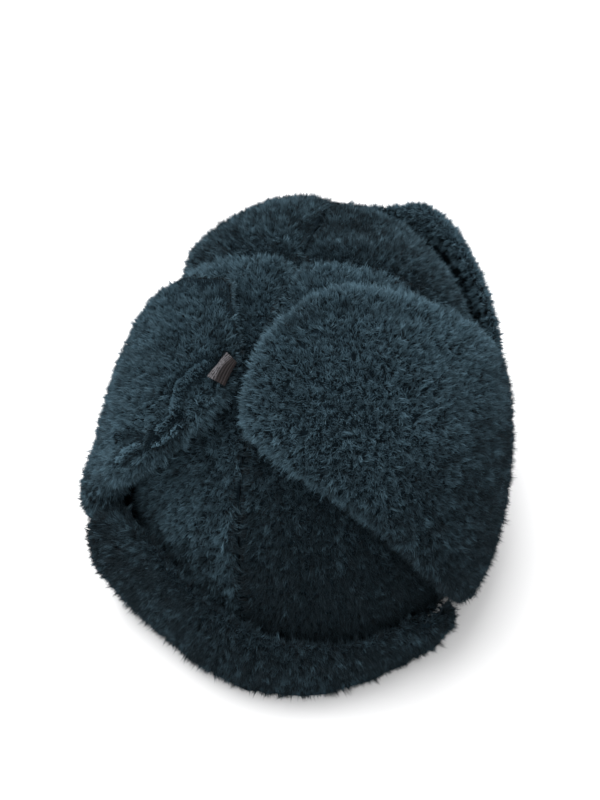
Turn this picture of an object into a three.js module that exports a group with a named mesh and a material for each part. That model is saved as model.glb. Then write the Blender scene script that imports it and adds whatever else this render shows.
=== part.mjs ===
// Ushanka in dense dark pile, ear flaps and front visor turned up.
// Millimetres, +Z up, front of the hat along -Y, wearer's left along +X, rim on Z = 0.

import * as THREE from "three";

// Plan of the crown: an ellipse, its long axis a little off the centre back seam.
const PLAN_LONG = 112;
const PLAN_SHORT = 88;
const PLAN_TWIST = 12;

// Meridian of the crown, from the rim to the apex.
const CROWN_HEIGHT = 160;
const WAIST_HEIGHT = 45;
const RIM_TUCK = 0.08;
const RISE_POWER = 2.6;
const REACH_POWER = 2.4;
const APEX_DENT = 5;
const APEX_DENT_WIDTH = 0.4;
const CROWN_SLANT = 10;
const CROWN_LEAN = 6;
const NOMINAL_RADIUS = 100;

// Where the crown is drawn in above its waist: bearing, spread in degrees, depth and the
// heights between which it grows.
const SIDE_TUCKS = [
  { bearing: -86, spread: 36, depth: 15, from: 14, to: 84 },
];

// Hide, pile and seams.
const WALL = 6;
const SEAM_GAP = 0.3;
const SEAM_DEPTH = 4;
const SEAM_WIDTH = 7;
const LOCK_DEPTH = 1.6;
const EDGE_LEVEL = 0.35;
const TAPE_THICK = 1.6;
const TAPE_LIFT = 0.9;

// Mesh density.
const PANEL_BEARINGS = 10;
const PANEL_RISES = 18;
const PAD_OUTER = 20;
const PAD_INNER = 16;
const PAD_STEP = 8;

// Shallow dents of the crown: bearing, distance up the meridian, depth and radius.
const DENTS = [
  { bearing: 150, reach: 178, depth: 8, radius: 20 },
  { bearing: 25, reach: 186, depth: 2, radius: 20 },
];

// Padded pieces. Each row is one section: bearing from the centre back towards the wearer's
// right, lower and upper edge along the meridian, and thickness.
const NAPE_BAND = [
  { bearing: -54, low: 11, high: 34, thick: 13 },
  { bearing: -49, low: 1, high: 49, thick: 21 },
  { bearing: -39, low: -4, high: 66, thick: 17 },
  { bearing: -24, low: -4, high: 72, thick: 11 },
  { bearing: -12, low: -4, high: 64, thick: 11 },
  { bearing: 2, low: -4, high: 50, thick: 11 },
  { bearing: 14, low: -4, high: 41, thick: 10 },
  { bearing: 26, low: -4, high: 37, thick: 8 },
  { bearing: 38, low: -4, high: 35, thick: 8 },
  { bearing: 48, low: -3, high: 26, thick: 10 },
  { bearing: 54, low: 2, high: 16, thick: 7 },
];

const EAR_FLAP_RIGHT = [
  { bearing: -0.5, low: 138, high: 157, thick: 7 },
  { bearing: 2, low: 133, high: 164, thick: 12 },
  { bearing: 8.5, low: 127, high: 173, thick: 15 },
  { bearing: 20, low: 113, high: 180, thick: 16 },
  { bearing: 30, low: 95, high: 183, thick: 17 },
  { bearing: 38, low: 70, high: 183, thick: 17 },
  { bearing: 44, low: 48, high: 181, thick: 17 },
  { bearing: 52, low: 26, high: 177, thick: 14 },
  { bearing: 58, low: 9, high: 173, thick: 12 },
  { bearing: 64, low: 3, high: 168, thick: 11 },
  { bearing: 74, low: 3, high: 156, thick: 10 },
  { bearing: 84, low: 3, high: 139, thick: 9.5 },
  { bearing: 94, low: 5, high: 120, thick: 9.5 },
  { bearing: 101, low: 8, high: 102, thick: 9 },
  { bearing: 104.5, low: 16, high: 74, thick: 6 },
];

const EAR_FLAP_LEFT = [
  { bearing: -106, low: 20, high: 60, thick: 6 },
  { bearing: -103, low: 10, high: 78, thick: 9 },
  { bearing: -98, low: 6, high: 96, thick: 11 },
  { bearing: -90, low: 4, high: 112, thick: 12 },
  { bearing: -78, low: 3, high: 136, thick: 14 },
  { bearing: -68, low: 3, high: 154, thick: 18 },
  { bearing: -61, low: 17, high: 164, thick: 18 },
  { bearing: -54, low: 43, high: 170, thick: 14 },
  { bearing: -46, low: 64, high: 176, thick: 12 },
  { bearing: -36, low: 82, high: 182, thick: 12 },
  { bearing: -26, low: 98, high: 181, thick: 13 },
  { bearing: -17, low: 116, high: 175, thick: 13 },
  { bearing: -11, low: 128, high: 169, thick: 12 },
  { bearing: -6.5, low: 138, high: 164, thick: 10 },
  { bearing: -4, low: 146, high: 159, thick: 7 },
];

const FRONT_VISOR = [
  { bearing: 107.5, low: 16, high: 62, thick: 5 },
  { bearing: 110.5, low: 8, high: 92, thick: 7 },
  { bearing: 116, low: 1, high: 114, thick: 8 },
  { bearing: 126, low: -3, high: 131, thick: 10 },
  { bearing: 138, low: -4, high: 140, thick: 13 },
  { bearing: 152, low: -4, high: 139, thick: 15 },
  { bearing: 168, low: -4, high: 122, thick: 15 },
  { bearing: 184, low: -4, high: 116, thick: 15 },
  { bearing: 202, low: -4, high: 110, thick: 15 },
  { bearing: 222, low: -4, high: 103, thick: 14 },
  { bearing: 236, low: -3, high: 96, thick: 13 },
  { bearing: 245, low: 1, high: 86, thick: 11 },
  { bearing: 250, low: 8, high: 72, thick: 9 },
  { bearing: 253, low: 18, high: 52, thick: 6 },
];

// Wrinkles along the lower edge of the left flap: distance above the edge, rise and half width.
const LEFT_WRINKLES = [
  { above: 15, rise: 2.2, half: 4 },
  { above: 22, rise: -2.0, half: 4 },
  { above: 29, rise: 2.0, half: 4 },
];

// Fit of each padded piece: clearance to the crown, how far its upper edge stands off,
// how much fuller its lower edge is than its upper one, and its wrinkles.
const NAPE_FIT = { lift: 1.0, standOff: 0, taper: 0, wrinkles: [] };
const RIGHT_FIT = { lift: 1.2, standOff: 0, taper: 0, wrinkles: [] };
const LEFT_FIT = { lift: 1.2, standOff: 0, taper: 1.1, wrinkles: LEFT_WRINKLES };
const VISOR_FIT = { lift: 0.7, standOff: 5, taper: 0, wrinkles: [] };

// Fastening tab on the tip of the left flap: bearing, lower and upper edge along the meridian.
const TAPE = [
  { bearing: -11.5, low: 142, high: 150 },
  { bearing: -9.5, low: 142, high: 154 },
  { bearing: -7, low: 145, high: 158 },
  { bearing: -5, low: 151, high: 158 },
];

const radians = THREE.MathUtils.degToRad;

// The meridian as a polyline with its running length and outward direction.
function meridianTable() {
  const rows = [];
  const low = 24;
  const high = 140;
  for (let i = 0; i < low; i += 1) {
    const z = (WAIST_HEIGHT * i) / low;
    const away = (WAIST_HEIGHT - z) / WAIST_HEIGHT;
    rows.push({ radius: 1 - RIM_TUCK * away * away, z });
  }
  for (let i = 0; i <= high; i += 1) {
    const angle = (Math.PI / 2) * (i / high);
    const rise = Math.sin(angle) ** (2 / RISE_POWER);
    const radius = Math.max(Math.cos(angle), 0) ** (2 / REACH_POWER);
    rows.push({ radius, z: WAIST_HEIGHT + (CROWN_HEIGHT - WAIST_HEIGHT) * rise });
  }
  let run = 0;
  rows.forEach((row, i) => {
    row.z -= APEX_DENT * Math.exp(-((row.radius / APEX_DENT_WIDTH) ** 2));
    if (i > 0) {
      const back = rows[i - 1];
      run += Math.hypot(NOMINAL_RADIUS * (row.radius - back.radius), row.z - back.z);
    }
    row.run = run;
  });
  rows.forEach((row, i) => {
    const back = rows[Math.max(i - 1, 0)];
    const next = rows[Math.min(i + 1, rows.length - 1)];
    const dr = NOMINAL_RADIUS * (next.radius - back.radius);
    const dz = next.z - back.z;
    const length = Math.hypot(dr, dz);
    row.outward = dz / length;
    row.upward = -dr / length;
  });
  return rows;
}

const MERIDIAN = meridianTable();
const MERIDIAN_LENGTH = MERIDIAN[MERIDIAN.length - 1].run;

// Radius share, height and outward direction at a distance along the meridian.
function meridianAt(run) {
  let i = 1;
  while (i < MERIDIAN.length - 1 && MERIDIAN[i].run < run) {
    i += 1;
  }
  const a = MERIDIAN[i - 1];
  const b = MERIDIAN[i];
  const t = (run - a.run) / (b.run - a.run);
  const mix = (key) => a[key] + (b[key] - a[key]) * t;
  return { radius: mix("radius"), z: mix("z"), outward: mix("outward"), upward: mix("upward") };
}

// Radius of the plan ellipse at a bearing.
function planRadius(bearing) {
  const angle = radians(bearing - PLAN_TWIST);
  return 1 / Math.hypot(Math.cos(angle) / PLAN_LONG, Math.sin(angle) / PLAN_SHORT);
}

// Share of the plan radius that is drawn in at a bearing and a height.
function tuckAt(bearing, z) {
  let drawn = 0;
  for (const tuck of SIDE_TUCKS) {
    const turn = THREE.MathUtils.euclideanModulo(bearing - tuck.bearing + 180, 360) - 180;
    const growth = THREE.MathUtils.smoothstep(z, tuck.from, tuck.to);
    drawn += tuck.depth * growth * Math.exp(-((turn / tuck.spread) ** 2));
  }
  return drawn;
}

// Point of the crown's form at a bearing and a distance up the meridian, moved out by an offset.
function crownPoint(bearing, run, offset) {
  const m = meridianAt(run);
  const angle = radians(bearing);
  const plan = (planRadius(bearing) - tuckAt(bearing, m.z)) * m.radius;
  const slant = CROWN_SLANT * ((plan * Math.cos(angle)) / PLAN_LONG) * (m.z / CROWN_HEIGHT) ** 2;
  const reach = plan + offset * m.outward;
  const z = m.z - slant + offset * m.upward;
  const lean = CROWN_LEAN * (m.z / CROWN_HEIGHT) ** 3;
  return new THREE.Vector3(-reach * Math.sin(angle), reach * Math.cos(angle) - lean, z);
}

// Offset of the crown's hide in its shallow dents.
function dentRelief(bearing, run) {
  const here = crownPoint(bearing, run, 0);
  let relief = 0;
  for (const dent of DENTS) {
    const gap = here.distanceTo(crownPoint(dent.bearing, dent.reach, 0)) / dent.radius;
    relief -= dent.depth * Math.exp(-gap * gap);
  }
  return relief;
}

// Offset of the crown's outer face: seam valleys and shallow dents.
function crownRelief(bearing, run) {
  const m = meridianAt(run);
  const nearest = Math.round(bearing / 90) * 90;
  const away = planRadius(bearing) * m.radius * radians(Math.abs(bearing - nearest));
  const relief = -SEAM_DEPTH * Math.exp(-((away / SEAM_WIDTH) ** 2));
  return relief + dentRelief(bearing, run);
}

// A closed mesh from points and triangles, turned so that its faces look outwards.
function closedMesh(name, points, triangles, finish) {
  let volume = 0;
  const cross = new THREE.Vector3();
  for (const [a, b, c] of triangles) {
    volume += points[a].dot(cross.crossVectors(points[b], points[c]));
  }
  const index = [];
  for (const [a, b, c] of triangles) {
    index.push(...(volume > 0 ? [a, b, c] : [a, c, b]));
  }
  const geometry = new THREE.BufferGeometry();
  const position = points.flatMap((p) => [p.x, p.y, p.z]);
  geometry.setAttribute("position", new THREE.Float32BufferAttribute(position, 3));
  geometry.setIndex(index);
  geometry.computeVertexNormals();
  const mesh = new THREE.Mesh(geometry, new THREE.MeshStandardMaterial(finish));
  mesh.name = name;
  return mesh;
}

// One quarter of the crown, from one seam to the next.
function crownPanel(name, startBearing, finish) {
  const points = [];
  const triangles = [];
  const middle = radians(startBearing + 45);
  const shift = new THREE.Vector3(-Math.sign(Math.sin(middle)), Math.sign(Math.cos(middle)), 0);
  shift.multiplyScalar(SEAM_GAP / 2);
  const rows = PANEL_RISES;
  const columns = PANEL_BEARINGS;
  const runAt = (j) => 1.5 + (MERIDIAN_LENGTH - 1.5) * (j / rows);

  const faces = [1, -1].map((side) => {
    const grid = [];
    for (let j = 0; j < rows; j += 1) {
      const line = [];
      for (let i = 0; i <= columns; i += 1) {
        const bearing = startBearing + (90 * i) / columns;
        const inside = i > 0 && i < columns && j > 0;
        const lock = inside && (i + j) % 2 === 1 ? -LOCK_DEPTH : 0;
        const outerOffset = crownRelief(bearing, runAt(j)) + lock;
        const innerOffset = dentRelief(bearing, runAt(j)) - WALL;
        line.push(points.length);
        points.push(crownPoint(bearing, runAt(j), side > 0 ? outerOffset : innerOffset).add(shift));
      }
      grid.push(line);
    }
    const apexOffset = side > 0 ? crownRelief(startBearing, MERIDIAN_LENGTH) : -WALL - SEAM_DEPTH;
    const apex = points.length;
    points.push(crownPoint(startBearing, MERIDIAN_LENGTH, apexOffset).add(shift));
    grid.push(new Array(columns + 1).fill(apex));
    return grid;
  });

  const quad = (a, b, c, d) => {
    if (a !== b && b !== c && a !== c) {
      triangles.push([a, b, c]);
    }
    if (a !== c && c !== d && a !== d) {
      triangles.push([a, c, d]);
    }
  };
  const [outer, inner] = faces;
  for (let j = 0; j < rows; j += 1) {
    for (let i = 0; i < columns; i += 1) {
      quad(outer[j][i], outer[j][i + 1], outer[j + 1][i + 1], outer[j + 1][i]);
      quad(inner[j][i], inner[j + 1][i], inner[j + 1][i + 1], inner[j][i + 1]);
    }
    quad(outer[j][0], outer[j + 1][0], inner[j + 1][0], inner[j][0]);
    quad(outer[j][columns], inner[j][columns], inner[j + 1][columns], outer[j + 1][columns]);
  }
  for (let i = 0; i < columns; i += 1) {
    quad(outer[0][i], inner[0][i], inner[0][i + 1], outer[0][i + 1]);
  }
  return closedMesh(name, points, triangles, finish);
}

// A row of a section table at any bearing, smooth through the rows around it.
function sectionAt(table, bearing) {
  const last = table.length - 1;
  let i = 0;
  while (i < last - 1 && table[i + 1].bearing < bearing) {
    i += 1;
  }
  const a = table[i];
  const b = table[i + 1];
  const span = b.bearing - a.bearing;
  const t = (bearing - a.bearing) / span;
  const blend = (key) => {
    const before = table[Math.max(i - 1, 0)];
    const after = table[Math.min(i + 2, last)];
    const slopeA = ((b[key] - before[key]) / (b.bearing - before.bearing)) * span;
    const slopeB = ((after[key] - a[key]) / (after.bearing - a.bearing)) * span;
    const t2 = t * t;
    const t3 = t2 * t;
    const ends = a[key] * (2 * t3 - 3 * t2 + 1) + b[key] * (3 * t2 - 2 * t3);
    return ends + slopeA * (t3 - 2 * t2 + t) + slopeB * (t3 - t2);
  };
  return { low: blend("low"), high: blend("high"), thick: blend("thick") };
}

// Offset of a padded piece's outer face at a share of its section.
function padOuter(section, share, fit) {
  const edge = Math.abs(2 * share - 1);
  const round = Math.sqrt(Math.max(1 - edge ** 5, 0));
  const thick = section.thick * (1 + fit.taper * (0.5 - share));
  let offset = fit.lift + thick * (EDGE_LEVEL + (1 - EDGE_LEVEL) * round);
  const above = share * (section.high - section.low);
  for (const wrinkle of fit.wrinkles) {
    const gap = (above - wrinkle.above) / wrinkle.half;
    offset += wrinkle.rise * round * Math.exp(-gap * gap);
  }
  return offset;
}

// A padded piece lofted through its sections, flat where it would pass the rim's plane.
function pad(name, table, fit, finish) {
  const first = table[0].bearing;
  const final = table[table.length - 1].bearing;
  const arc = radians(final - first) * NOMINAL_RADIUS;
  const steps = Math.round(arc / PAD_STEP);
  const points = [];
  const rings = [];
  for (let k = 0; k <= steps; k += 1) {
    const ease = k / steps - Math.sin((2 * Math.PI * k) / steps) * 0.06;
    const bearing = first + (final - first) * ease;
    const section = sectionAt(table, bearing);
    const ring = [];
    const place = (share, offset) => {
      const run = section.low + share * (section.high - section.low);
      const lifted = offset + fit.standOff * share * share;
      const point = crownPoint(bearing, run, lifted);
      point.z = Math.max(point.z, 0);
      ring.push(points.length);
      points.push(point);
    };
    for (let i = 0; i <= PAD_OUTER; i += 1) {
      const even = i / PAD_OUTER;
      const share = even - Math.sin(2 * Math.PI * even) * 0.07;
      const inside = i > 1 && i < PAD_OUTER - 1 && k > 0 && k < steps;
      const lock = inside && (i + k) % 2 === 1 ? LOCK_DEPTH : 0;
      place(share, padOuter(section, share, fit) - lock);
    }
    for (let i = PAD_INNER; i >= 1; i -= 1) {
      const even = i / (PAD_INNER + 1);
      const share = even - Math.sin(2 * Math.PI * even) * 0.09;
      const edge = Math.abs(2 * share - 1) ** 8;
      place(share, fit.lift + EDGE_LEVEL * section.thick * edge);
    }
    rings.push(ring);
  }
  const triangles = [];
  const size = rings[0].length;
  for (let k = 0; k < steps; k += 1) {
    for (let i = 0; i < size; i += 1) {
      const n = (i + 1) % size;
      triangles.push([rings[k][i], rings[k + 1][i], rings[k + 1][n]]);
      triangles.push([rings[k][i], rings[k + 1][n], rings[k][n]]);
    }
  }
  [rings[0], rings[steps]].forEach((ring, end) => {
    const centre = new THREE.Vector3();
    ring.forEach((p) => centre.add(points[p]));
    const middle = points.length;
    points.push(centre.divideScalar(size));
    for (let i = 0; i < size; i += 1) {
      const n = (i + 1) % size;
      triangles.push(end === 0 ? [middle, ring[i], ring[n]] : [middle, ring[n], ring[i]]);
    }
  });
  return closedMesh(name, points, triangles, finish);
}

// The thin tab that lies on the tip of the left flap.
function tape(name, table, finish) {
  const across = 5;
  const along = 6;
  const points = [];
  const grids = [TAPE_LIFT + TAPE_THICK, TAPE_LIFT].map((height) => {
    const grid = [];
    for (let k = 0; k <= along; k += 1) {
      const bearing = table[0].bearing + ((table[3].bearing - table[0].bearing) * k) / along;
      const edge = sectionAt(table.map((row) => ({ ...row, thick: 0 })), bearing);
      const under = sectionAt(EAR_FLAP_LEFT, bearing);
      const line = [];
      for (let i = 0; i <= across; i += 1) {
        const run = edge.low + ((edge.high - edge.low) * i) / across;
        const share = THREE.MathUtils.clamp((run - under.low) / (under.high - under.low), 0, 1);
        line.push(points.length);
        points.push(crownPoint(bearing, run, padOuter(under, share, LEFT_FIT) + height));
      }
      grid.push(line);
    }
    return grid;
  });
  const triangles = [];
  const quad = (a, b, c, d) => triangles.push([a, b, c], [a, c, d]);
  const [top, bottom] = grids;
  for (let k = 0; k < along; k += 1) {
    for (let i = 0; i < across; i += 1) {
      quad(top[k][i], top[k][i + 1], top[k + 1][i + 1], top[k + 1][i]);
      quad(bottom[k][i], bottom[k + 1][i], bottom[k + 1][i + 1], bottom[k][i + 1]);
    }
    quad(top[k][0], top[k + 1][0], bottom[k + 1][0], bottom[k][0]);
    quad(top[k][across], bottom[k][across], bottom[k + 1][across], top[k + 1][across]);
  }
  for (let i = 0; i < across; i += 1) {
    quad(top[0][i], bottom[0][i], bottom[0][i + 1], top[0][i + 1]);
    quad(top[along][i], top[along][i + 1], bottom[along][i + 1], bottom[along][i]);
  }
  return closedMesh(name, points, triangles, finish);
}

const PILE = { color: 0x1e2a32, roughness: 0.95, metalness: 0 };
const TAB = { color: 0x4a3d3e, roughness: 0.8, metalness: 0 };

const hat = new THREE.Group();
hat.name = "ushanka";
hat.add(crownPanel("crown_panel_back_right", 0, PILE));
hat.add(crownPanel("crown_panel_front_right", 90, PILE));
hat.add(crownPanel("crown_panel_front_left", 180, PILE));
hat.add(crownPanel("crown_panel_back_left", 270, PILE));
hat.add(pad("nape_band", NAPE_BAND, NAPE_FIT, PILE));
hat.add(pad("ear_flap_right", EAR_FLAP_RIGHT, RIGHT_FIT, PILE));
hat.add(pad("ear_flap_left", EAR_FLAP_LEFT, LEFT_FIT, PILE));
hat.add(pad("front_visor", FRONT_VISOR, VISOR_FIT, PILE));
hat.add(tape("fastening_tape", TAPE, TAB));

// The origin is the middle of the rim's plane, below the middle of the hat's outline.
const outline = new THREE.Box3().setFromObject(hat);
const middle = outline.getCenter(new THREE.Vector3());
hat.children.forEach((mesh) => mesh.geometry.translate(-middle.x, -middle.y, -outline.min.z));

export default hat;
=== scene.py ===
"""Ushanka in dense blue-black pile, seen from behind with its ear flaps turned up.

Every piece of pile is a hide that follows its solid, sunk by the depth of the pile, and a coat of
short strands in tufts that grows out of it. Metres, +Z up, front of the hat along -Y.
"""

import logging
import math
from dataclasses import dataclass, field
from enum import Enum

import bmesh
import bpy
import numpy as np
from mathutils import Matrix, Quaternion, Vector
from mathutils.bvhtree import BVHTree

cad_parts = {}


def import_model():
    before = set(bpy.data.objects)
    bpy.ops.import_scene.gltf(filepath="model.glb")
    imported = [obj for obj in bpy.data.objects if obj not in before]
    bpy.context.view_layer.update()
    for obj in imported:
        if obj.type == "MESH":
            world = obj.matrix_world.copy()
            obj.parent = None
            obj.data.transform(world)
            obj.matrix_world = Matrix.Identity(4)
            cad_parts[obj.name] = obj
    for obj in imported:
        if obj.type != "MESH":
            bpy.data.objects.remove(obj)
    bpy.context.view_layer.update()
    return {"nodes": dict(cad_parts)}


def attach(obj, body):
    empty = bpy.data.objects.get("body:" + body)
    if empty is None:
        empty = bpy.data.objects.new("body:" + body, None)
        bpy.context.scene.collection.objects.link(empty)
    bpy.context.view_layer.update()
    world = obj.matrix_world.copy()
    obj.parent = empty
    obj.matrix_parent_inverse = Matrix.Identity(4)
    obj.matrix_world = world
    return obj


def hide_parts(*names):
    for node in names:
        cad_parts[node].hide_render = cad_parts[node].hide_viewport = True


LOG = logging.getLogger("ushanka")
MM = 0.001
BODY = "root"
MAP_NAME = "OFBake"
# Middle of the hollow under the crown, from which outward is reckoned, and the crown's top.
CROWN_HEART = Vector((-0.0022, 0.0015, 0.050))
APEX = Vector((-0.0022, -0.0024, 0.151))
# Shares of a face's two sides from one tuft to the next, which spread the tufts evenly.
EVEN_STEPS = (0.7548777, 0.5698403)
# Height below which the rim counts as lying on the floor's plane.
RIM_PLANE = 0.0006
# Height below which nothing is lifted by a fold, and no tuft grows on an underside.
RIM_ZONE = 0.003
# Length of one band of the wave texture at a scale of one, in metres.
WAVE_UNIT = 0.314
# Distance within which the corners of a solid's triangles are joined.
WELD = 0.00002
# How far the hide stays above the floor.
HIDE_CLEAR = 0.0002
# Height where a piece's tone reaches its upper value, and how steeply it gets there.
# Painted light: the pile is painted paler towards the top, where the light falls from above, and darker
# low down.
TONE_TOP = 0.14
TONE_CURVE = 2.5
# Edge and span of the tones across the map of the strands, and the half width of a strand there.
CHART_EDGE = 0.05
CHART_SPAN = 0.9
CHART_BLADE = 0.012
# Places of a strand's root and tip along the map.
CHART_ROOT = 0.02
CHART_TIP = 0.98
# Heights along a strand where the root's colour ends and the tip's colour starts.
ROOT_END = 0.10
TIP_START = 0.70
# Focal length and shift of the picture's middle, in pixels of the photograph.
FOCAL_PIXELS = 1000
SHIFT_UP_PIXELS = 40
SHIFT_RIGHT_PIXELS = 3

Colour = tuple[float, float, float]
Point = tuple[float, float, float]


class Nap(Enum):
    """Which way the pile of a piece lies."""

    DOWN = "down"
    UP = "up"
    SPREAD = "spread"
    SWEPT = "swept"


# How much each nap fans out from the piece's middle, or from the apex, and its drift in metres.
NAP_FLOWS: dict[Nap, tuple[float, Point]] = {
    Nap.DOWN: (1.0, (0.0, 0.0, -0.02)),
    Nap.UP: (0.4, (0.0, 0.0, 0.05)),
    Nap.SWEPT: (0.8, (0.0, 0.0, -0.03)),
    Nap.SPREAD: (0.7, (0.0, 0.010, -0.016)),
}
# Length of flow from which the pile leans fully.
FULL_FLOW = 0.045


# Finishes


@dataclass(frozen=True)
class PileFinish:
    """Dense man-made pile: dark at the root, blue-grey at the tip, with a soft sheen."""

    name: str = "pile_strands"
    root: Colour = (0.0020, 0.0034, 0.0044)
    dark_tip: Colour = (0.0042, 0.0076, 0.0099)
    light_tip: Colour = (0.0865, 0.1544, 0.1975)
    roughness: float = 0.75
    specular: float = 0.12
    sheen: float = 0.18
    sheen_roughness: float = 0.45
    sheen_tint: Colour = (0.30, 0.55, 0.72)

    def material(self, colour_group: bpy.types.NodeTree) -> bpy.types.Material:
        """Makes the material of the strands, which reads tone and height from the piece's own map.

        Args:
            colour_group: The shared node group that mixes root and tip colours.

        Returns:
            The material.
        """
        material, nodes, links, shader = new_material(self.name)
        chart = nodes.new("ShaderNodeUVMap")
        chart.uv_map = MAP_NAME
        split = nodes.new("ShaderNodeSeparateXYZ")
        links.new(chart.outputs["UV"], split.inputs["Vector"])
        mix = place_group(nodes, colour_group)
        mix.inputs["Root"].default_value = (*self.root, 1)
        mix.inputs["Dark Tip"].default_value = (*self.dark_tip, 1)
        mix.inputs["Light Tip"].default_value = (*self.light_tip, 1)
        links.new(split.outputs["X"], mix.inputs["Tone"])
        links.new(split.outputs["Y"], mix.inputs["Along"])
        links.new(mix.outputs["Color"], shader.inputs["Base Color"])
        shader.inputs["Roughness"].default_value = self.roughness
        shader.inputs["Specular IOR Level"].default_value = self.specular
        shader.inputs["Sheen Weight"].default_value = self.sheen
        shader.inputs["Sheen Roughness"].default_value = self.sheen_roughness
        shader.inputs["Sheen Tint"].default_value = (*self.sheen_tint, 1)
        return material


@dataclass(frozen=True)
class HideFinish:
    """The woven back of the pile, seen between the strands and inside the crown."""

    name: str = "pile_backing"
    root: Colour = (0.0012, 0.0022, 0.0030)
    dark_tip: Colour = (0.0034, 0.0066, 0.0090)
    light_tip: Colour = (0.0070, 0.0135, 0.0185)
    height: float = 0.8
    mottle_scale: float = 220.0
    mottle_detail: float = 3.0
    weave_pitch: float = 0.0011
    weave_waver: float = 1.5
    bump: float = 0.35
    bump_depth: float = 0.0004
    roughness: float = 0.9
    specular: float = 0.02

    def material(self, colour_group: bpy.types.NodeTree) -> bpy.types.Material:
        """Makes the material of the backing cloth.

        Args:
            colour_group: The shared node group that mixes root and tip colours.

        Returns:
            The material.
        """
        material, nodes, links, shader = new_material(self.name)
        place = nodes.new("ShaderNodeTexCoord")
        noise = nodes.new("ShaderNodeTexNoise")
        noise.inputs["Scale"].default_value = self.mottle_scale
        noise.inputs["Detail"].default_value = self.mottle_detail
        links.new(place.outputs["Object"], noise.inputs["Vector"])
        mix = place_group(nodes, colour_group)
        mix.inputs["Root"].default_value = (*self.root, 1)
        mix.inputs["Dark Tip"].default_value = (*self.dark_tip, 1)
        mix.inputs["Light Tip"].default_value = (*self.light_tip, 1)
        links.new(noise.outputs["Fac"], mix.inputs["Tone"])
        mix.inputs["Along"].default_value = self.height
        links.new(mix.outputs["Color"], shader.inputs["Base Color"])
        weave = nodes.new("ShaderNodeTexWave")
        weave.inputs["Scale"].default_value = WAVE_UNIT / self.weave_pitch
        weave.inputs["Distortion"].default_value = self.weave_waver
        links.new(place.outputs["Object"], weave.inputs["Vector"])
        relief = nodes.new("ShaderNodeBump")
        relief.inputs["Strength"].default_value = self.bump
        relief.inputs["Distance"].default_value = self.bump_depth
        links.new(weave.outputs["Fac"], relief.inputs["Height"])
        links.new(relief.outputs["Normal"], shader.inputs["Normal"])
        shader.inputs["Roughness"].default_value = self.roughness
        shader.inputs["Specular IOR Level"].default_value = self.specular
        return material


@dataclass(frozen=True)
class TapeFinish:
    """Ribbed woven hook and loop tape in its own dark brown, with a painted highlight over one end
    where its top edge catches the light, and painted shade in the grooves between its ribs.
    """

    name: str = "ribbed_tape"
    # Painted shade in the grooves between the ribs, shared with the weave's own dark speckle.
    groove: Colour = (0.007, 0.006, 0.006)
    # Painted highlight: the pale colour of the tape's lit end, and where it fades into the brown.
    painted_highlight: Colour = (0.112, 0.108, 0.118)
    brown: Colour = (0.016, 0.012, 0.013)
    highlight_end: float = 0.35
    brown_start: float = 0.60
    rib_depth: float = 0.35
    speckle_scale: float = 1500.0
    speckle_low: float = 0.36
    speckle_high: float = 0.62
    roughness: float = 0.75
    specular: float = 0.2

    def material(self) -> bpy.types.Material:
        """Makes the tape's material, with its halves and ribs along the piece's own map.

        Returns:
            The material.
        """
        material, nodes, links, shader = new_material(self.name)
        chart = nodes.new("ShaderNodeUVMap")
        chart.uv_map = MAP_NAME
        split = nodes.new("ShaderNodeSeparateXYZ")
        links.new(chart.outputs["UV"], split.inputs["Vector"])
        # Painted highlight over the tape's first part, fading into its own dark brown.
        half = nodes.new("ShaderNodeMapRange")
        half.interpolation_type = "SMOOTHSTEP"
        half.inputs["From Min"].default_value = self.highlight_end
        half.inputs["From Max"].default_value = self.brown_start
        links.new(split.outputs["X"], half.inputs["Value"])
        body = nodes.new("ShaderNodeMix")
        body.data_type = "RGBA"
        body.inputs["A"].default_value = (*self.painted_highlight, 1)
        body.inputs["B"].default_value = (*self.brown, 1)
        links.new(half.outputs["Result"], body.inputs["Factor"])
        turn = nodes.new("ShaderNodeMath")
        turn.operation = "MULTIPLY"
        turn.inputs[1].default_value = 2 * math.pi * FasteningTape.ribs
        links.new(split.outputs["X"], turn.inputs[0])
        wave = nodes.new("ShaderNodeMath")
        wave.operation = "COSINE"
        links.new(turn.outputs["Value"], wave.inputs[0])
        place = nodes.new("ShaderNodeTexCoord")
        speckle = nodes.new("ShaderNodeTexNoise")
        speckle.inputs["Scale"].default_value = self.speckle_scale
        links.new(place.outputs["Object"], speckle.inputs["Vector"])
        dots = nodes.new("ShaderNodeMapRange")
        dots.inputs["From Min"].default_value = self.speckle_low
        dots.inputs["From Max"].default_value = self.speckle_high
        links.new(speckle.outputs["Fac"], dots.inputs["Value"])
        sum_up = nodes.new("ShaderNodeMath")
        sum_up.operation = "MULTIPLY_ADD"
        sum_up.inputs[1].default_value = self.rib_depth
        links.new(wave.outputs["Value"], sum_up.inputs[0])
        links.new(dots.outputs["Result"], sum_up.inputs[2])
        depth = nodes.new("ShaderNodeMapRange")
        depth.inputs["From Min"].default_value = 0.0
        depth.inputs["From Max"].default_value = 1.0
        links.new(sum_up.outputs["Value"], depth.inputs["Value"])
        # Painted shade in the rib grooves, mixed by the same depth as the weave's own dark speckle.
        whole = nodes.new("ShaderNodeMix")
        whole.data_type = "RGBA"
        whole.inputs["A"].default_value = (*self.groove, 1)
        links.new(depth.outputs["Result"], whole.inputs["Factor"])
        links.new(body.outputs["Result"], whole.inputs["B"])
        links.new(whole.outputs["Result"], shader.inputs["Base Color"])
        shader.inputs["Roughness"].default_value = self.roughness
        shader.inputs["Specular IOR Level"].default_value = self.specular
        return material


@dataclass(frozen=True)
class FloorFinish:
    """Plain white studio floor."""

    name: str = "studio_floor"
    colour: Colour = (0.93, 0.93, 0.935)
    roughness: float = 0.8
    specular: float = 0.1

    def material(self) -> bpy.types.Material:
        """Makes the floor's material."""
        material, _, _, shader = new_material(self.name)
        shader.inputs["Base Color"].default_value = (*self.colour, 1)
        shader.inputs["Roughness"].default_value = self.roughness
        shader.inputs["Specular IOR Level"].default_value = self.specular
        return material


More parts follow.
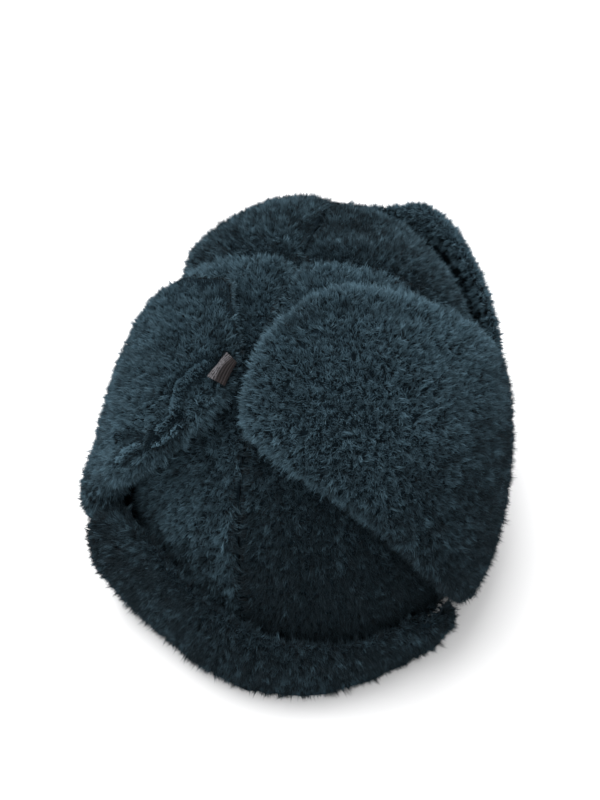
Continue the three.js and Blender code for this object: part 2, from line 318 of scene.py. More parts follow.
def new_material(
    name: str,
) -> tuple[bpy.types.Material, bpy.types.Nodes, bpy.types.NodeLinks, bpy.types.ShaderNode]:
    """Starts a material with one Principled shader.

    Args:
        name: The material's name.

    Returns:
        The material, its nodes, its links and the shader.
    """
    material = bpy.data.materials.new(name)
    material.use_nodes = True
    nodes = material.node_tree.nodes
    return material, nodes, material.node_tree.links, nodes["Principled BSDF"]


def place_group(nodes: bpy.types.Nodes, tree: bpy.types.NodeTree) -> bpy.types.ShaderNode:
    """Places a shared node group in a material.

    Args:
        nodes: The material's nodes.
        tree: The group to place.

    Returns:
        The group's node.
    """
    node = nodes.new("ShaderNodeGroup")
    node.node_tree = tree
    return node


def pile_colour_group() -> bpy.types.NodeTree:
    """Builds the group that colours pile and backing: tips by tone, then root to tip by height.

    Returns:
        The node group.
    """
    tree = bpy.data.node_groups.new("pile_colour", "ShaderNodeTree")
    face = tree.interface
    for name in ("Tone", "Along"):
        socket = face.new_socket(name, in_out="INPUT", socket_type="NodeSocketFloat")
        socket.default_value = 0.5
    for name in ("Root", "Dark Tip", "Light Tip"):
        face.new_socket(name, in_out="INPUT", socket_type="NodeSocketColor")
    face.new_socket("Color", in_out="OUTPUT", socket_type="NodeSocketColor")
    inputs = tree.nodes.new("NodeGroupInput")
    outputs = tree.nodes.new("NodeGroupOutput")
    tips = tree.nodes.new("ShaderNodeMix")
    tips.data_type = "RGBA"
    tree.links.new(inputs.outputs["Tone"], tips.inputs["Factor"])
    tree.links.new(inputs.outputs["Dark Tip"], tips.inputs["A"])
    tree.links.new(inputs.outputs["Light Tip"], tips.inputs["B"])
    rise = tree.nodes.new("ShaderNodeMapRange")
    rise.interpolation_type = "SMOOTHSTEP"
    rise.inputs["From Min"].default_value = ROOT_END
    rise.inputs["From Max"].default_value = TIP_START
    tree.links.new(inputs.outputs["Along"], rise.inputs["Value"])
    whole = tree.nodes.new("ShaderNodeMix")
    whole.data_type = "RGBA"
    tree.links.new(rise.outputs["Result"], whole.inputs["Factor"])
    tree.links.new(inputs.outputs["Root"], whole.inputs["A"])
    tree.links.new(tips.outputs["Result"], whole.inputs["B"])
    tree.links.new(whole.outputs["Result"], outputs.inputs["Color"])
    return tree


# Mesh helpers


def merged_copy(node: bpy.types.Object) -> bmesh.types.BMesh:
    """Copies a solid's mesh with its loose triangles joined.

    Args:
        node: The solid's object.

    Returns:
        The joined copy.
    """
    shape = bmesh.new()
    shape.from_mesh(node.data)
    bmesh.ops.remove_doubles(shape, verts=shape.verts, dist=WELD)
    shape.normal_update()
    return shape


def finished_piece(name: str, shape: bmesh.types.BMesh) -> bpy.types.Object:
    """Turns a bmesh into a smooth shaded object at the origin.

    Args:
        name: The piece's name.
        shape: The mesh, which is freed.

    Returns:
        The object, linked to the scene.
    """
    mesh = bpy.data.meshes.new(name)
    shape.to_mesh(mesh)
    shape.free()
    mesh.polygons.foreach_set("use_smooth", np.ones(len(mesh.polygons), dtype=bool))
    piece = bpy.data.objects.new(name, mesh)
    bpy.context.scene.collection.objects.link(piece)
    return piece


def mottling(places: np.ndarray, rng: np.random.Generator) -> np.ndarray:
    """Makes soft uneven patches out of crossing waves 5 to 40 mm long.

    Args:
        places: Points to mottle.
        rng: Source of the random draws.

    Returns:
        A value for each point, about -1 to 1 for most.
    """
    waves = 18
    ways = unit_rows(rng.standard_normal((waves, 3)))
    shortest, longest = 0.005, 0.040
    rates = 2 * math.pi / np.geomspace(shortest, longest, waves)
    phases = rng.random(waves) * 2 * math.pi
    turns = places @ (ways * rates[:, None]).T + phases
    return np.sin(turns).sum(axis=1) / math.sqrt(waves / 2)


def open_shares(
    places: np.ndarray, outward: np.ndarray, solids: BVHTree, above: float
) -> np.ndarray:
    """Tells how much open air each place sees.

    Args:
        places: Points on the pieces.
        outward: The outward directions there.
        solids: All that may stand in the way.
        above: How far above each place the look starts.

    Returns:
        The share of the directions ahead of each place that hit nothing, from 0 to 1.
    """
    looks, low, far = 40, 0.1, 0.3
    steps = np.arange(looks) + 0.5
    drop = 1 - 2 * steps / len(steps)
    turn = steps * math.pi * (3 - math.sqrt(5))
    flat = np.sqrt(1 - drop**2)
    ways = np.stack([flat * np.cos(turn), flat * np.sin(turn), drop], axis=1)
    shares = np.zeros(len(places))
    for i, (place, out) in enumerate(zip(places, outward)):
        start = Vector(place + out * above)
        ahead = ways[ways @ out > low]
        free = sum(solids.ray_cast(start, Vector(way), far)[0] is None for way in ahead)
        shares[i] = free / len(ahead)
    return shares


def sunk_share(facing: float) -> float:
    """Gives the share of the pile's depth that the hide is sunk by, from how far it faces outward."""
    least, span = -0.25, 0.5
    return min(max((facing - least) / span, 0.0), 1.0)


def unit_rows(rows: np.ndarray) -> np.ndarray:
    """Scales each row of an array to length one."""
    return rows / np.maximum(np.linalg.norm(rows, axis=1, keepdims=True), 1e-9)


# Sub-assemblies


@dataclass(frozen=True)
class Coat:
    """The coat of strands on a piece: sizes in metres, the rest in shares and counts."""

    # Tufts on a square metre, strands in a tuft, and the limit of strands on the piece.
    tufts: float = 0.455e6
    strands: int = 14
    most: int = 199000
    # How deep a strand is rooted, its length, and how much that varies by strand and by tuft.
    sink: float = 0.0019
    length: float = 0.0027
    length_spread: float = 0.14
    tuft_spread: float = 0.18
    shortest: float = 0.6
    longest: float = 1.5
    pressed_short: float = 0.4
    # A tuft's radius, how far its tips gather, and a strand's half width at the root.
    radius: float = 0.00068
    gather: float = 0.45
    width: float = 0.000217
    width_spread: float = 0.2
    thinnest: float = 0.5
    widest: float = 1.6
    # How far strands stand up, lean with the nap, and stray by tuft and by strand.
    upright: float = 0.85
    lean: float = 0.20
    stray: float = 0.30
    strand_stray: float = 0.6
    # Least share of open air on the outer and the inner side, and where the look at it starts.
    open_share: float = 0.05
    open_inner: float = 0.12
    look_near: float = 0.0008
    look_far: float = 0.003
    # Facing from which a face is outer, facing below which it is an underside, unevenness of steps.
    outer: float = 0.05
    underside: float = -0.75
    jitter: float = 0.1
    # Free height that is tested, the least of it, where its test starts, and the share that is used.
    reach_test: float = 0.0060
    reach_low: float = 0.0006
    root_clear: float = 0.0004
    room_share: float = 0.8
    floor_clear: float = 0.0005
    # How far the painted shade of a crease against another piece reaches, how far that of a seam
    # between panels reaches, and the share of a crease's painted shade that a seam has.
    crease: float = 0.0110
    seam: float = 0.0045
    seam_share: float = 0.75
    # Unevenness of the tone by patches, tufts and strands, its scale, and how pale the painted
    # highlight on ridge tops makes the roots.
    mottle: float = 0.13
    speckle: float = 0.30
    strand_tone: float = 0.10
    tone_share: float = 0.8
    root_highlight: float = 0.40


@dataclass(frozen=True)
class Fold:
    """A ridge or a groove in a piece: points along it in millimetres, height, half width, and the
    painted light on its pile, a painted highlight above 0 and painted shade below.
    """

    line: tuple[Point, ...]
    rise: float
    half: float
    shade: float
    pressed: float = 0.5
    flank: float = 0.8

    def share(self, places: np.ndarray) -> tuple[np.ndarray, np.ndarray]:
        """Tells how much of the fold reaches each place.

        Args:
            places: Points in metres, a row each.

        Returns:
            1 on the fold's line, below 0 along both its flanks and 0 far from it; and how close
            the fold is, from 0 to 1.
        """
        points = np.array(self.line) * MM
        near = np.full(len(places), np.inf)
        for a, b in zip(points[:-1], points[1:]):
            way = b - a
            along = np.clip(((places - a) @ way) / (way @ way), 0.0, 1.0)
            near = np.minimum(near, np.linalg.norm(places - a - along[:, None] * way, axis=1))
        flank_steps, close_steps = 1.9, 3
        steps = near / (self.half * MM)
        share = np.exp(-(steps**2)) - self.flank * np.exp(-((steps - flank_steps) ** 2))
        return share, np.exp(-((steps / close_steps) ** 4))


@dataclass
class PilePiece:
    """One padded or panelled piece of the hat: its hide and its coat of strands."""

    node: str
    nap: Nap
    seed: int
    padded: bool = True
    fill: float = 0.6
    # Tones at the rim and at the top; the change between them is painted light from above.
    tone_low: float = 0.5
    tone_high: float = 0.5
    # Painted shade: how much darker the pile is painted deep in a crease against another piece.
    painted_crease_shade: float = 0.30
    coat: Coat = field(default_factory=Coat)
    folds: tuple[Fold, ...] = ()
    grain: int = 1
    smooth_passes: int = 2
    inner: float = -0.2
    rim_sink: float = 0.35

    def smooth_shape(self, solid: bpy.types.Object) -> bmesh.types.BMesh:
        """Takes the solid's form without its facets.

        Args:
            solid: The solid's object.

        Returns:
            A smoothed copy of the solid's mesh.
        """
        shape = merged_copy(solid)
        soft = [v for v in shape.verts if not self.is_kept(v)]
        for _ in range(self.smooth_passes):
            bmesh.ops.smooth_vert(
                shape, verts=soft, factor=0.5, use_axis_x=True, use_axis_y=True, use_axis_z=True
            )
        shape.normal_update()
        return shape

    def is_kept(self, vert: bmesh.types.BMVert) -> bool:
        """Tells whether a vertex stays put: on the rim's plane, or on the inner side of the wall."""
        away = (vert.co - CROWN_HEART).normalized()
        return vert.co.z < RIM_PLANE or vert.normal.dot(away) < self.inner

    def hide(self, solid: bpy.types.Object) -> bpy.types.Object:
        """Models the backing cloth: the solid's form, sunk by the depth of the pile.

        Args:
            solid: The solid's object.

        Returns:
            The hide's object.
        """
        shape = self.smooth_shape(solid)
        sunk = []
        for vert in shape.verts:
            away = (vert.co - CROWN_HEART).normalized()
            share = 1.0 if self.padded else sunk_share(vert.normal.dot(away))
            if vert.co.z < RIM_PLANE:
                share = min(share, self.rim_sink)
            way = vert.normal.copy() if self.padded else away
            sunk.append((vert, way * (self.coat.sink * share)))
        for vert, move in sunk:
            vert.co -= move
            vert.co.z = max(vert.co.z, HIDE_CLEAR)
        bmesh.ops.subdivide_edges(
            shape, edges=shape.edges, cuts=self.grain, use_grid_fill=True, smooth=0.0
        )
        shape.normal_update()
        outer = [v for v in shape.verts if v.normal.dot(v.co - CROWN_HEART) > 0]
        outer = [v for v in outer if v.co.z > RIM_ZONE]
        lift = self.relief(np.array([v.co[:] for v in outer]))[0]
        for vert, rise in zip(outer, lift):
            vert.co += vert.normal * float(rise)
        return finished_piece(f"{self.node}_hide", shape)

    def relief(self, places: np.ndarray) -> tuple[np.ndarray, np.ndarray, np.ndarray]:
        """Adds up the piece's folds.

        Args:
            places: Points in metres, a row each.

        Returns:
            How far each point is lifted, how much paler it is painted (a painted highlight on ridge
            tops, painted shade where below 0, in grooves and flanks), and how flat its pile is pressed.
        """
        lift = np.zeros(len(places))
        paler = np.zeros(len(places))
        pressed = np.zeros(len(places))
        for fold in self.folds:
            share, close = fold.share(places)
            lift += fold.rise * MM * share
            paler += fold.shade * share
            pressed = np.maximum(pressed, fold.pressed * close)
        return lift, paler, pressed

    def scatter(
        self, solid: bpy.types.Object, others: BVHTree, all_round: BVHTree, rng: np.random.Generator
    ) -> tuple[np.ndarray, np.ndarray, np.ndarray]:
        """Chooses where the tufts grow: evenly over the faces that show, not under other pieces.

        Args:
            solid: The solid's object.
            others: All the other solids, for the test of what is covered.
            all_round: All the solids, for the test of what shows.
            rng: Source of the random draws.

        Returns:
            The places, the outward directions and the free height above, a row each.
        """
        coat = self.coat
        shape = self.smooth_shape(solid)
        bmesh.ops.triangulate(shape, faces=shape.faces)
        shape.normal_update()
        corners = np.array([[v.co[:] for v in f.verts] for f in shape.faces])
        normals = np.array([[v.normal[:] for v in f.verts] for f in shape.faces])
        shape.free()
        centres = corners.mean(axis=1)
        middles = unit_rows(normals.mean(axis=1))
        facing = (middles * unit_rows(centres - np.array(CROWN_HEART))).sum(axis=1)
        cross = np.cross(corners[:, 1] - corners[:, 0], corners[:, 2] - corners[:, 0])
        area = 0.5 * np.linalg.norm(cross, axis=1)
        shows = open_shares(centres, middles, others, coat.look_near) >= coat.open_share
        if self.padded:
            seen = open_shares(centres, middles, all_round, coat.look_far)
            outside = shows | (seen >= coat.open_share)
            shows = np.where(facing > coat.outer, outside, seen > coat.open_inner)
        else:
            shows &= facing > coat.outer
        area = np.where(shows, area, 0.0)
        count = int(area.sum() * coat.tufts)
        order = np.arange(count)
        steps = (order + rng.random(count)) / count * area.sum()
        faces = np.minimum(np.searchsorted(np.cumsum(area), steps), len(area) - 1)
        share = (order[:, None] * np.array(EVEN_STEPS) + coat.jitter * rng.random((count, 2))) % 1.0
        flip = share.sum(axis=1) > 1
        share[flip] = 1 - share[flip]
        weights = np.stack([1 - share.sum(axis=1), share[:, 0], share[:, 1]], axis=1)
        places = (corners[faces] * weights[:, :, None]).sum(axis=1)
        outward = unit_rows((normals[faces] * weights[:, :, None]).sum(axis=1))
        room = np.full(count, coat.reach_test)
        start = places + outward * coat.root_clear
        for i in range(count):
            hit = others.ray_cast(Vector(start[i]), Vector(outward[i]), coat.reach_test)
            if hit[0] is not None:
                room[i] = hit[3]
        keep = room > coat.reach_low
        keep &= ~((places[:, 2] < RIM_ZONE) & (outward[:, 2] < coat.underside))
        kept = rng.permutation(np.flatnonzero(keep))[: coat.most // coat.strands]
        return places[kept], outward[kept], room[kept]

    def nearness(self, places: np.ndarray, others: BVHTree, reach: float) -> np.ndarray:
        """Measures how deep in a crease each place lies.

        Args:
            places: Where the tufts grow.
            others: The other solids.
            reach: How far the crease is felt.

        Returns:
            From 0 in the open to 1 against another piece.
        """
        near = np.zeros(len(places))
        for i, place in enumerate(places):
            hit = others.find_nearest(Vector(place), reach)
            if hit[0] is not None:
                near[i] = 1 - hit[3] / reach
        return near

    def nap_directions(self, places: np.ndarray, outward: np.ndarray) -> np.ndarray:
        """Works out which way the pile lies at each place.

        Args:
            places: Where the tufts grow.
            outward: The outward directions there.

        Returns:
            A direction along the surface for each place.
        """
        fan, drift = NAP_FLOWS[self.nap]
        source = np.array(APEX) if self.nap is Nap.DOWN else places.mean(axis=0)
        flow = (places - source) * fan
        if self.nap is Nap.DOWN:
            flow[:, 2] = -np.abs(flow[:, 2])
        elif self.nap is Nap.UP:
            flow[:, 2] = 0.0
        flow = flow + np.array(drift)
        flow = flow - outward * (flow * outward).sum(axis=1, keepdims=True)
        size = np.linalg.norm(flow, axis=1, keepdims=True)
        return flow / np.maximum(size, FULL_FLOW)

    def strands(
        self,
        places: np.ndarray,
        outward: np.ndarray,
        room: np.ndarray,
        near: np.ndarray,
        rng: np.random.Generator,
    ) -> tuple[np.ndarray, np.ndarray, np.ndarray, np.ndarray]:
        """Works out the strands of all the tufts.

        Args:
            places: Where the tufts grow.
            outward: The outward directions there.
            room: The free height above each place.
            near: How deep in a crease each place lies.
            rng: Source of the random draws.

        Returns:
            Roots and tips, a row each, each strand's tone and how pale the painted highlight on a ridge
            top makes it down to the root, both from 0 to 1.
        """
        coat = self.coat
        tufts = len(places)
        slope = self.nap_directions(places, outward) * coat.lean
        slope += rng.standard_normal((tufts, 3)) * coat.stray
        sink = np.full(tufts, coat.sink)
        length = coat.length * (1 + coat.tuft_spread * rng.standard_normal(tufts))
        # Painted light: tufts painted paler towards the top and darker low down.
        height = np.clip(places[:, 2] / TONE_TOP, 0.0, 1.0) ** TONE_CURVE
        tone = self.tone_low + (self.tone_high - self.tone_low) * height
        uneven = coat.speckle * rng.standard_normal(tufts) + coat.mottle * mottling(places, rng)
        # Painted shade: tufts painted darker deep in creases against other pieces and in the seams
        # between panels.
        tone -= self.painted_crease_shade * near**2
        owner = np.repeat(np.arange(tufts), coat.strands)
        count = len(owner)
        normal = outward[owner]
        aside = rng.standard_normal((count, 3)) * coat.radius
        aside -= normal * (aside * normal).sum(axis=1, keepdims=True)
        spots = places[owner] + aside
        lift, paler, pressed = self.relief(spots)
        roots = spots + normal * (lift - sink[owner])[:, None]
        long = length[owner] * (1 + coat.length_spread * rng.standard_normal(count))
        long = np.clip(long, coat.shortest * coat.length, coat.longest * coat.length)
        long *= 1 - coat.pressed_short * pressed
        long = np.minimum(long, (sink + coat.room_share * room)[owner])[:, None]
        way = slope[owner] + rng.standard_normal((count, 3)) * coat.stray * coat.strand_stray
        way *= (1 - pressed)[:, None]
        tips = roots + long * (normal * coat.upright + way) - aside * coat.gather
        roots[:, 2] = np.maximum(roots[:, 2], coat.floor_clear)
        tips[:, 2] = np.maximum(tips[:, 2], coat.floor_clear)
        # Painted light from the folds: paler on ridge tops, painted shade in grooves and flanks.
        tones = tone[owner] + paler + (1 - pressed) * uneven[owner]
        tones += coat.strand_tone * rng.standard_normal(count)
        return roots, tips, np.clip(coat.tone_share * tones, 0.0, 1.0), np.clip(paler, 0.0, 1.0)

    def pile(
        self,
        roots: np.ndarray,
        tips: np.ndarray,
        tone: np.ndarray,
        painted_highlight: np.ndarray,
        rng: np.random.Generator,
    ) -> bpy.types.Object:
        """Joins all the strands into one mesh, each a pointed blade rooted in the hide.

        Args:
            roots: The strands' roots.
            tips: Their tips.
            tone: Their tones from 0 to 1.
            painted_highlight: How pale the painted highlight on ridge tops makes them down to the root,
                from 0 to 1.
            rng: Source of the random draws.

        Returns:
            The pile's object.
        """
        coat = self.coat
        count = len(roots)
        side = unit_rows(np.cross(tips - roots, rng.standard_normal((count, 3))))
        width = coat.width * (1 + coat.width_spread * rng.standard_normal(count))
        width = np.clip(width, coat.thinnest * coat.width, coat.widest * coat.width)[:, None]
        points = np.stack([roots - side * width, roots + side * width, tips], axis=1)
        faces = np.arange(count * 3).reshape(-1, 3)
        mesh = bpy.data.meshes.new(f"{self.node}_pile")
        mesh.from_pydata(points.reshape(-1, 3), [], faces)
        chart = np.empty((count, 3, 2), dtype=np.float32)
        blade = np.array([-CHART_BLADE, CHART_BLADE, 0.0])
        chart[:, :, 0] = (CHART_EDGE + CHART_SPAN * tone)[:, None] + blade
        chart[:, :, 1] = np.array([CHART_ROOT, CHART_ROOT, CHART_TIP])
        # Painted highlight: strands on lit ridge tops keep their paler colour down to the root.
        chart[:, :2, 1] += (coat.root_highlight * painted_highlight)[:, None]
        layer = mesh.uv_layers.new(name=MAP_NAME)
        layer.uv.foreach_set("vector", chart.ravel())
        piece = bpy.data.objects.new(f"{self.node}_pile", mesh)
        bpy.context.scene.collection.objects.link(piece)
        return piece

    def build(
        self,
        solids: dict[str, bpy.types.Object],
        covers: dict[str, bpy.types.Object],
        all_round: BVHTree,
        strand_finish: bpy.types.Material,
        hide_finish: bpy.types.Material,
    ) -> None:
        """Models and dresses the piece and ties it to the frame.

        Args:
            solids: The frame's solids by name.
            covers: What may lie over the piece, by the same names.
            all_round: All the solids as one search tree.
            strand_finish: The material of the strands.
            hide_finish: The material of the backing.
        """
        rng = np.random.default_rng(self.seed)
        solid = solids[self.node]
        family = self.node if self.padded else "crown_panel"
        others = covering_tree({k: v for k, v in covers.items() if not k.startswith(family)})
        sisters = covering_tree({k: v for k, v in covers.items() if k != self.node})
        hide = self.hide(solid)
        hide.data.materials.append(hide_finish)
        places, outward, room = self.scatter(solid, others, all_round, rng)
        near = np.maximum(
            self.nearness(places, others, self.coat.crease),
            self.coat.seam_share * self.nearness(places, sisters, self.coat.seam),
        )
        pile = self.pile(*self.strands(places, outward, room, near, rng), rng)
        pile.data.materials.append(strand_finish)
        for piece in (hide, pile):
            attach(piece, BODY)
        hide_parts(self.node)
        LOG.info("%s: %d strands", self.node, len(pile.data.polygons))


def covering_tree(solids: dict[str, bpy.types.Object]) -> BVHTree:
    """Gathers solids into one search tree.

    Args:
        solids: The solids by name.

    Returns:
        The search tree.
    """
    shape = bmesh.new()
    for solid in solids.values():
        shape.from_mesh(solid.data)
    tree = BVHTree.FromBMesh(shape)
    shape.free()
    return tree


@dataclass
class FasteningTape:
    """The short ribbed tab on the tip of the left flap, by its four corners in millimetres."""

    node: str = "fastening_tape"
    carrier: str = "ear_flap_left"
    corners: tuple[Point, ...] = (
        (12.0, 82.0, 143.3),
        (4.1, 82.5, 140.0),
        (2.7, 68.6, 143.5),
        (7.5, 66.6, 147.2),
    )
    ribs: int = 8
    rib_height: float = 0.00022
    thick: float = 0.0012
    lift: float = 0.0006
    across: int = 48
    along: int = 24
    chart_edge: float = 0.02
    chart_span: float = 0.96
    smooth_passes: int = 30
    drop: float = 0.02

    def on_chart(self, share: float) -> float:
        """Turns a share of the tab's side into a place on its map."""
        return self.chart_edge + self.chart_span * share

    def build(
        self, solids: dict[str, bpy.types.Object], finish: bpy.types.Material
    ) -> bpy.types.Object:
        """Lays a ribbed sheet over the flap between its corners, and ties it to the frame.

        Args:
            solids: The frame's solids by name.
            finish: The tape's material.

        Returns:
            The tab's object.
        """
        ground = bmesh.new()
        ground.from_mesh(solids[self.carrier].data)
        flap = BVHTree.FromBMesh(ground)
        ground.free()
        shape = bmesh.new()
        bmesh.ops.create_grid(shape, x_segments=self.across, y_segments=self.along, size=0.5)
        layer = shape.loops.layers.uv.new(MAP_NAME)
        for face in shape.faces:
            for loop in face.loops:
                x, y, _ = loop.vert.co
                loop[layer].uv = (self.on_chart(x + 0.5), self.on_chart(y + 0.5))
        a, b, c, d = (Vector(corner) * MM for corner in self.corners)
        out = ((a + b + c + d) / 4 - CROWN_HEART).normalized()
        ribs: dict[bmesh.types.BMVert, float] = {}
        for vert in shape.verts:
            u, v = vert.co.x + 0.5, vert.co.y + 0.5
            flat = (a * (1 - u) + b * u) * (1 - v) + (d * (1 - u) + c * u) * v
            hit = flap.ray_cast(flat + out * self.drop, -out)[0]
            ribs[vert] = self.rib_height * math.cos(2 * math.pi * self.ribs * self.on_chart(u))
            vert.co = (hit or flat) + out * (self.lift + self.thick)
        for _ in range(self.smooth_passes):
            bmesh.ops.smooth_vert(
                shape, verts=shape.verts, factor=0.5, use_axis_x=True, use_axis_y=True, use_axis_z=True
            )
        for vert, rib in ribs.items():
            vert.co += out * rib
        under = bmesh.ops.extrude_face_region(shape, geom=shape.faces[:])
        for part in under["geom"]:
            if isinstance(part, bmesh.types.BMVert):
                part.co -= out * self.thick
        bmesh.ops.recalc_face_normals(shape, faces=shape.faces)
        tab = finished_piece("fastening_tab", shape)
        tab.data.materials.append(finish)
        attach(tab, BODY)
        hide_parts(self.node)
        LOG.info("%s: %d faces", self.node, len(tab.data.polygons))
        return tab


@dataclass
class Studio:
    """White floor, soft light and the camera at the photograph's angle."""

    target: Vector = field(default_factory=lambda: Vector((4.0, 0.0, 47.0)) * MM)
    azimuth: float = 198.0
    elevation: float = 40.0
    distance: float = 0.500
    roll: float = -4.0
    lens: float = 45.0
    tilt_up: float = math.atan(SHIFT_UP_PIXELS / FOCAL_PIXELS)
    turn_right: float = math.atan(SHIFT_RIGHT_PIXELS / FOCAL_PIXELS)
    floor_size: float = 6.0
    surround: float = 0.70
    key_place: Point = (0.40, -0.10, 1.30)
    key_side: float = 1.4
    key_power: float = 28.0
    fill_place: Point = (-0.4, 1.0, 1.0)
    fill_side: float = 1.0
    fill_power: float = 7.0

    def camera(self) -> None:
        """Places the camera."""
        a, e = math.radians(self.azimuth), math.radians(self.elevation)
        back = Vector((math.sin(a) * math.cos(e), -math.cos(a) * math.cos(e), math.sin(e)))
        data = bpy.data.cameras.new("photo_camera")
        data.lens = self.lens
        data.clip_start, data.clip_end = 0.01, 50.0
        eye = bpy.data.objects.new("photo_camera", data)
        bpy.context.scene.collection.objects.link(eye)
        eye.rotation_mode = "QUATERNION"
        eye.location = self.target + back * self.distance
        aim = (-back).to_track_quat("-Z", "Y")
        aim = aim @ Quaternion((0, 0, 1), math.radians(self.roll))
        aim = aim @ Quaternion((1, 0, 0), self.tilt_up)
        aim = aim @ Quaternion((0, 1, 0), -self.turn_right)
        eye.rotation_quaternion = aim
        bpy.context.scene.camera = eye

    def floor(self, finish: bpy.types.Material) -> None:
        """Lays the floor.

        Args:
            finish: The floor's material.
        """
        shape = bmesh.new()
        bmesh.ops.create_grid(shape, x_segments=1, y_segments=1, size=self.floor_size / 2)
        floor = finished_piece("studio_floor", shape)
        floor.data.materials.append(finish)

    def light(self) -> None:
        """Hangs the soft lights and sets the white surroundings."""
        world = bpy.data.worlds.new("white_room")
        world.use_nodes = True
        ground = world.node_tree.nodes["Background"]
        ground.inputs["Color"].default_value = (1.0, 1.0, 1.0, 1)
        ground.inputs["Strength"].default_value = self.surround
        bpy.context.scene.world = world
        self.area("key_light", self.key_place, self.key_side, self.key_power)
        self.area("fill_light", self.fill_place, self.fill_side, self.fill_power)

    def area(self, name: str, place: Point, size: float, power: float) -> None:
        """Hangs one square light that faces the hat.

        Args:
            name: The light's name.
            place: Where it hangs, in metres.
            size: Its side, in metres.
            power: Its power in watts.
        """
        data = bpy.data.lights.new(name, "AREA")
        data.size = size
        data.energy = power
        lamp = bpy.data.objects.new(name, data)
        lamp.location = place
        lamp.rotation_mode = "QUATERNION"
        lamp.rotation_quaternion = (self.target - Vector(place)).to_track_quat("-Z", "Y")
        bpy.context.scene.collection.objects.link(lamp)

    def exposure(self) -> None:
        """Keeps whites white and darks as they are."""
        settings = bpy.context.scene.view_settings
        settings.view_transform = "Standard"
        settings.look = "None"


def ridge(line: tuple[Point, ...], rise: float) -> Fold:
    """Makes a narrow ridge along a line of points, with its height, both in millimetres: its pile
    pressed flat, with a painted highlight along its top and painted shade along its flanks.
    """
    return Fold(line=line, rise=rise, half=1.6, shade=1.4, pressed=0.85, flank=0.45)


def groove(line: tuple[Point, ...], depth: float, half: float) -> Fold:
    """Makes a groove with painted shade in it along a line of points, with its depth and half width in
    millimetres.
    """
    return Fold(line=line, rise=-depth, half=half, shade=-0.35)


def bulge(a: Point, b: Point, rise: float, half: float) -> Fold:
    """Makes a soft swelling between two points.

    Args:
        a: First point in millimetres.
        b: Second point.
        rise: How far it swells.
        half: How far it reaches to each side.

    Returns:
        The swelling as a fold without flanks.
    """
    return Fold(line=(a, b), rise=rise, half=half, shade=0.0, pressed=0.0, flank=0.0)


# Folds and swellings of the pieces, by points along them in millimetres.
LEFT_FOLDS = (
    ridge(
        (
            (14.2, 74.9, 146.4),
            (17.9, 78.1, 143.4),
            (22.1, 81.4, 139.9),
            (23.6, 84.7, 137.3),
            (22.7, 90.7, 136.1),
            (23.2, 94.5, 134.2),
            (25.7, 95.9, 130.0),
            (28.5, 97.1, 127.0),
        ),
        3.8,
    ),
    groove(((16.3, 73.5, 148.0), (20.2, 77.0, 145.6), (23.7, 79.8, 142.4)), 1.2, 2.0),
    ridge(
        ((20.2, 96.3, 130.2), (23.8, 97.8, 126.4), (27.8, 99.3, 123.4), (31.0, 100.0, 122.0)), 3.4
    ),
    ridge(
        ((35.4, 99.0, 123.4), (41.0, 97.8, 117.8), (45.9, 96.6, 111.8), (49.7, 95.0, 107.1)), 3.4
    ),
    groove(((38.9, 93.9, 122.2), (45.7, 89.5, 115.8), (51.5, 86.2, 110.6)), 1.6, 3.0),
    bulge((82.3, 65.9, 54.6), (84.7, 61.5, 41.5), 6.0, 15.0),
    bulge((55.0, 28.0, 141.0), (57.5, 30.4, 139.3), 2.5, 12.0),
)
# A groove under the right flap's rolled border, with painted shade along it.
RIGHT_FOLDS = (
    Fold(
        line=(
            (-16.3, 61.2, 158.3),
            (-19.0, 56.6, 159.3),
            (-25.9, 52.3, 161.0),
            (-34.9, 48.5, 161.5),
            (-45.0, 44.8, 159.9),
            (-53.8, 35.3, 153.1),
            (-61.4, 32.8, 149.7),
        ),
        rise=-1.8,
        half=4.8,
        shade=-0.26,
        pressed=0.0,
        flank=0.5,
    ),
)
NAPE_FOLDS = (
    bulge((74.4, 81.0, 49.5), (70.5, 88.2, 37.0), 5.0, 14.0),
    bulge((-76.7, 80.0, 28.3), (-82.5, 70.0, 24.0), 5.5, 10.0),
)
CROWN_SIDE = (bulge((50.1, -15.9, 140.4), (47.0, 2.0, 141.0), 4.5, 14.0),)
# A dent in the crown's top, with painted shade in it.
CROWN_DENT = (
    Fold(
        line=((3.9, -26.0, 153.2), (-12.0, -38.0, 151.0), (-27.0, -36.0, 147.5)),
        rise=-1.0,
        half=13.0,
        shade=-0.30,
        pressed=0.0,
        flank=0.0,
    ),
)


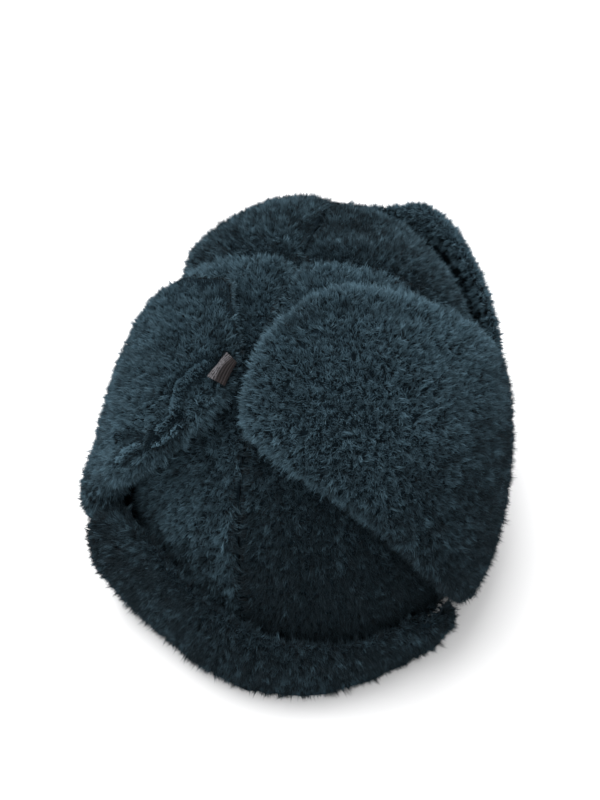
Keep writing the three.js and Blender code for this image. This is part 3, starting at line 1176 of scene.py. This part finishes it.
def hat_pieces() -> list[PilePiece]:
    """Lists the hat's pile pieces, each with the lie and the tone of its pile; the tones hold painted
    light and shade.
    """
    return [
        PilePiece(
            "crown_panel_back_left",
            Nap.DOWN,
            11,
            padded=False,
            painted_crease_shade=0.9,
            tone_low=0.46,
            tone_high=1.0,
            folds=CROWN_SIDE,
        ),
        # Tone low down far below the rest: painted shade under the right flap.
        PilePiece(
            "crown_panel_back_right",
            Nap.DOWN,
            12,
            padded=False,
            painted_crease_shade=0.9,
            tone_low=-0.42,
            tone_high=0.98,
        ),
        PilePiece(
            "crown_panel_front_left",
            Nap.DOWN,
            13,
            padded=False,
            painted_crease_shade=0.9,
            tone_low=0.50,
            tone_high=0.50,
            folds=CROWN_DENT + CROWN_SIDE,
        ),
        # Tone falling towards the top: painted shade in the crown's dent.
        PilePiece(
            "crown_panel_front_right",
            Nap.DOWN,
            14,
            padded=False,
            painted_crease_shade=0.9,
            tone_low=0.50,
            tone_high=0.38,
            folds=CROWN_DENT,
        ),
        PilePiece(
            "nape_band", Nap.SWEPT, 15, fill=0.6, tone_low=-0.05, tone_high=0.60, folds=NAPE_FOLDS
        ),
        # Tone rising to full at the top: painted sheen along the flap's upper border, painted shade low
        # down.
        PilePiece(
            "ear_flap_right", Nap.SPREAD, 16, fill=0.7, tone_low=-0.20, tone_high=1.0, folds=RIGHT_FOLDS
        ),
        PilePiece(
            "ear_flap_left",
            Nap.SPREAD,
            17,
            fill=0.5,
            tone_low=0.52,
            tone_high=0.86,
            folds=LEFT_FOLDS,
            grain=3,
            coat=Coat(open_inner=0.03),
        ),
        # High tone: painted sheen on the visor's inner face.
        PilePiece(
            "front_visor",
            Nap.UP,
            18,
            fill=0.6,
            tone_low=0.62,
            tone_high=1.0,
            coat=Coat(tufts=0.40e6, most=165000, open_inner=0.03),
        ),
    ]


def main() -> None:
    """Builds the hat on its frame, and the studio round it."""
    logging.basicConfig(level=logging.INFO, format="%(name)s %(message)s")
    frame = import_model()
    solids = dict(frame["nodes"])
    studio = Studio()
    studio.camera()
    studio.floor(FloorFinish().material())
    studio.light()
    studio.exposure()
    colours = pile_colour_group()
    strand_finish = PileFinish().material(colours)
    hide_finish = HideFinish().material(colours)
    tape = FasteningTape()
    covers = {**solids, tape.node: tape.build(solids, TapeFinish().material())}
    all_round = covering_tree(solids)
    for piece in hat_pieces():
        piece.build(solids, covers, all_round, strand_finish, hide_finish)


if __name__ == "__main__":
    main()
